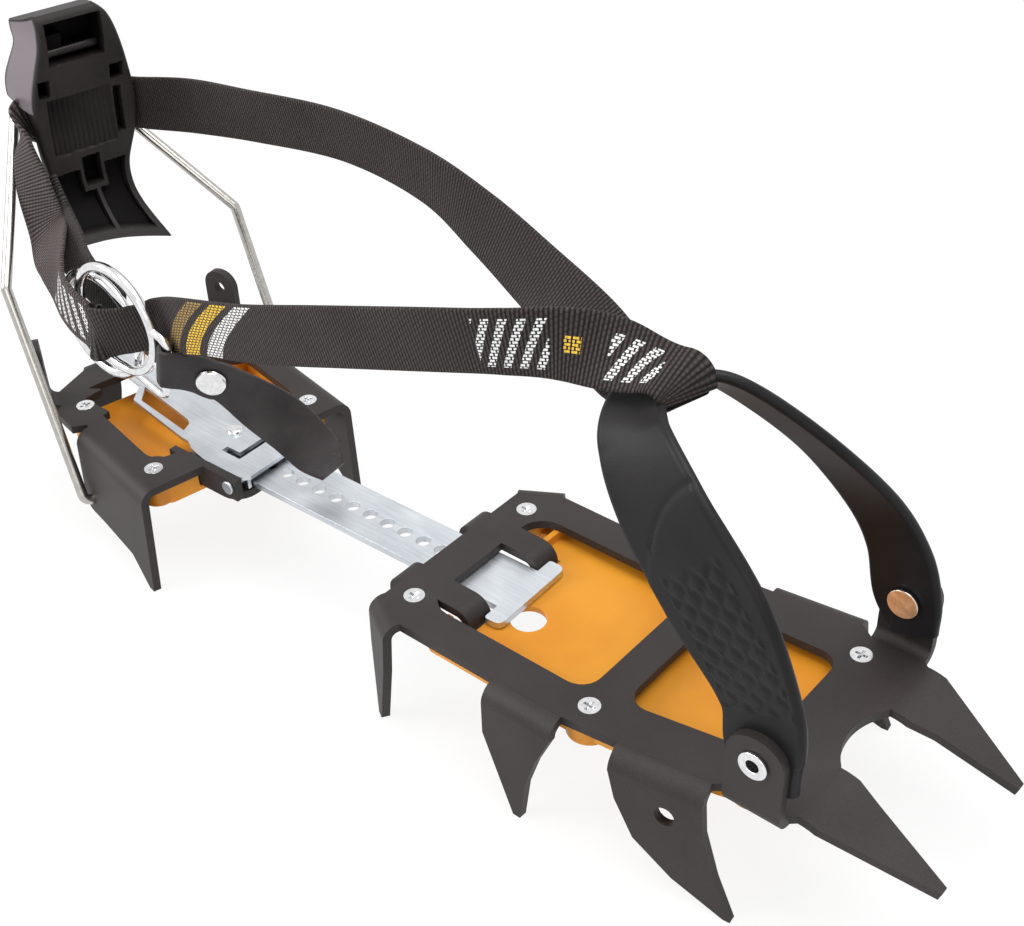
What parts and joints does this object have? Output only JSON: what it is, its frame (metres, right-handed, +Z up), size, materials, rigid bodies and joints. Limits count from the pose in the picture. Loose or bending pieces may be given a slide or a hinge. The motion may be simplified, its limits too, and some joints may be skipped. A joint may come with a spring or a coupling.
{
  "type": "twelve-point crampon",
  "caption": "strap-on steel crampon with bent plate points, sliding length bar with lock clip, amber anti-balling trays, rubber toe arch, wire heel bail with lever and ankle strap",
  "frame": {"origin": "on the boot-sole plane, at the centre of the cross web of the front plate", "axes": "+X to the front points, +Z up from the boot sole, -Y the outer side with the buckle rings (right foot)"},
  "size_m": [0.4017, 0.1066, 0.1821],
  "materials": {
    "coated_steel": "satin speckled powder coat",
    "amber_plastic": "smooth, slightly translucent",
    "zinc_steel": "satin zinc",
    "polished_steel": "polished",
    "black_rubber": "semi-matte",
    "black_plastic": "matte",
    "black_webbing": "ribbed weave",
    "black_leather": "coated"
  },
  "bodies": {
    "front": {"front_plate": "coated_steel", "front_anti_balling_plate": "amber_plastic", "front_screws": "zinc_steel", "toe_rivets": "polished_steel", "link_bar": "zinc_steel"},
    "toe_arch": {"toe_strap": "black_rubber"},
    "heel": {"heel_plate": "coated_steel", "heel_anti_balling_plate": "amber_plastic", "heel_screws": "zinc_steel", "clip_pivots": "zinc_steel", "ankle_strap_far": "black_webbing", "ankle_strap_near": "black_webbing", "buckle_strap": "black_webbing"},
    "lock": {"lock_clip": "zinc_steel", "lock_pin": "zinc_steel", "clip_rivet": "polished_steel"},
    "bail": {"heel_bail": "polished_steel"},
    "lever": {"heel_lever": "black_plastic", "lever_screw": "zinc_steel"},
    "ring_in": {"ring_inner": "polished_steel"},
    "ring_out": {"ring_outer": "polished_steel"},
    "tab": {"pull_tab": "black_leather", "tab_rivet": "polished_steel"}
  },
  "joints": [
    {"name": "toe_strap_swing", "type": "hinge", "parent": "front", "child": "toe_arch", "pos_m": [0.0565, 0.006, 0.019], "axis": [0, 1, 0], "range_deg": [-12, 20]},
    {"name": "heel_slide", "type": "slide", "parent": "front", "child": "heel", "axis": [0.9997, 0.0262, 0], "range_m": [0, 0.048], "deforming": ["ankle_strap_far", "ankle_strap_near", "buckle_strap"]},
    {"name": "lock_lift", "type": "hinge", "parent": "heel", "child": "lock", "pos_m": [-0.16746, -0.0052, -0.0033], "axis": [-0.0262, 0.9997, 0], "range_deg": [0, 8], "stiffness_Nm_per_rad": 0.3},
    {"name": "bail_swing", "type": "hinge", "parent": "heel", "child": "bail", "pos_m": [-0.2194, 0.00324, -0.0265], "axis": [0.1891, 0.982, 0], "range_deg": [-40, 15]},
    {"name": "lever_turn", "type": "hinge", "parent": "bail", "child": "lever", "pos_m": [-0.28912, 0.01667, 0.098], "axis": [0.1891, 0.982, 0], "range_deg": [-25, 20]},
    {"name": "inner_ring_turn", "type": "hinge", "parent": "heel", "child": "ring_in", "pos_m": [-0.2353, -0.0274, 0.0528], "axis": [0.2999, 0, 0.954], "range_deg": [0, 15]},
    {"name": "outer_ring_turn", "type": "hinge", "parent": "heel", "child": "ring_out", "pos_m": [-0.2203, -0.0314, 0.0618], "axis": [0.2999, 0, 0.954], "range_deg": [-20, 0]},
    {"name": "tab_swing", "type": "hinge", "parent": "ring_out", "child": "tab", "pos_m": [-0.1783, -0.0314, 0.0446], "axis": [0.2331, 0, 0.9725], "range_deg": [-20, 8]}
  ]
}
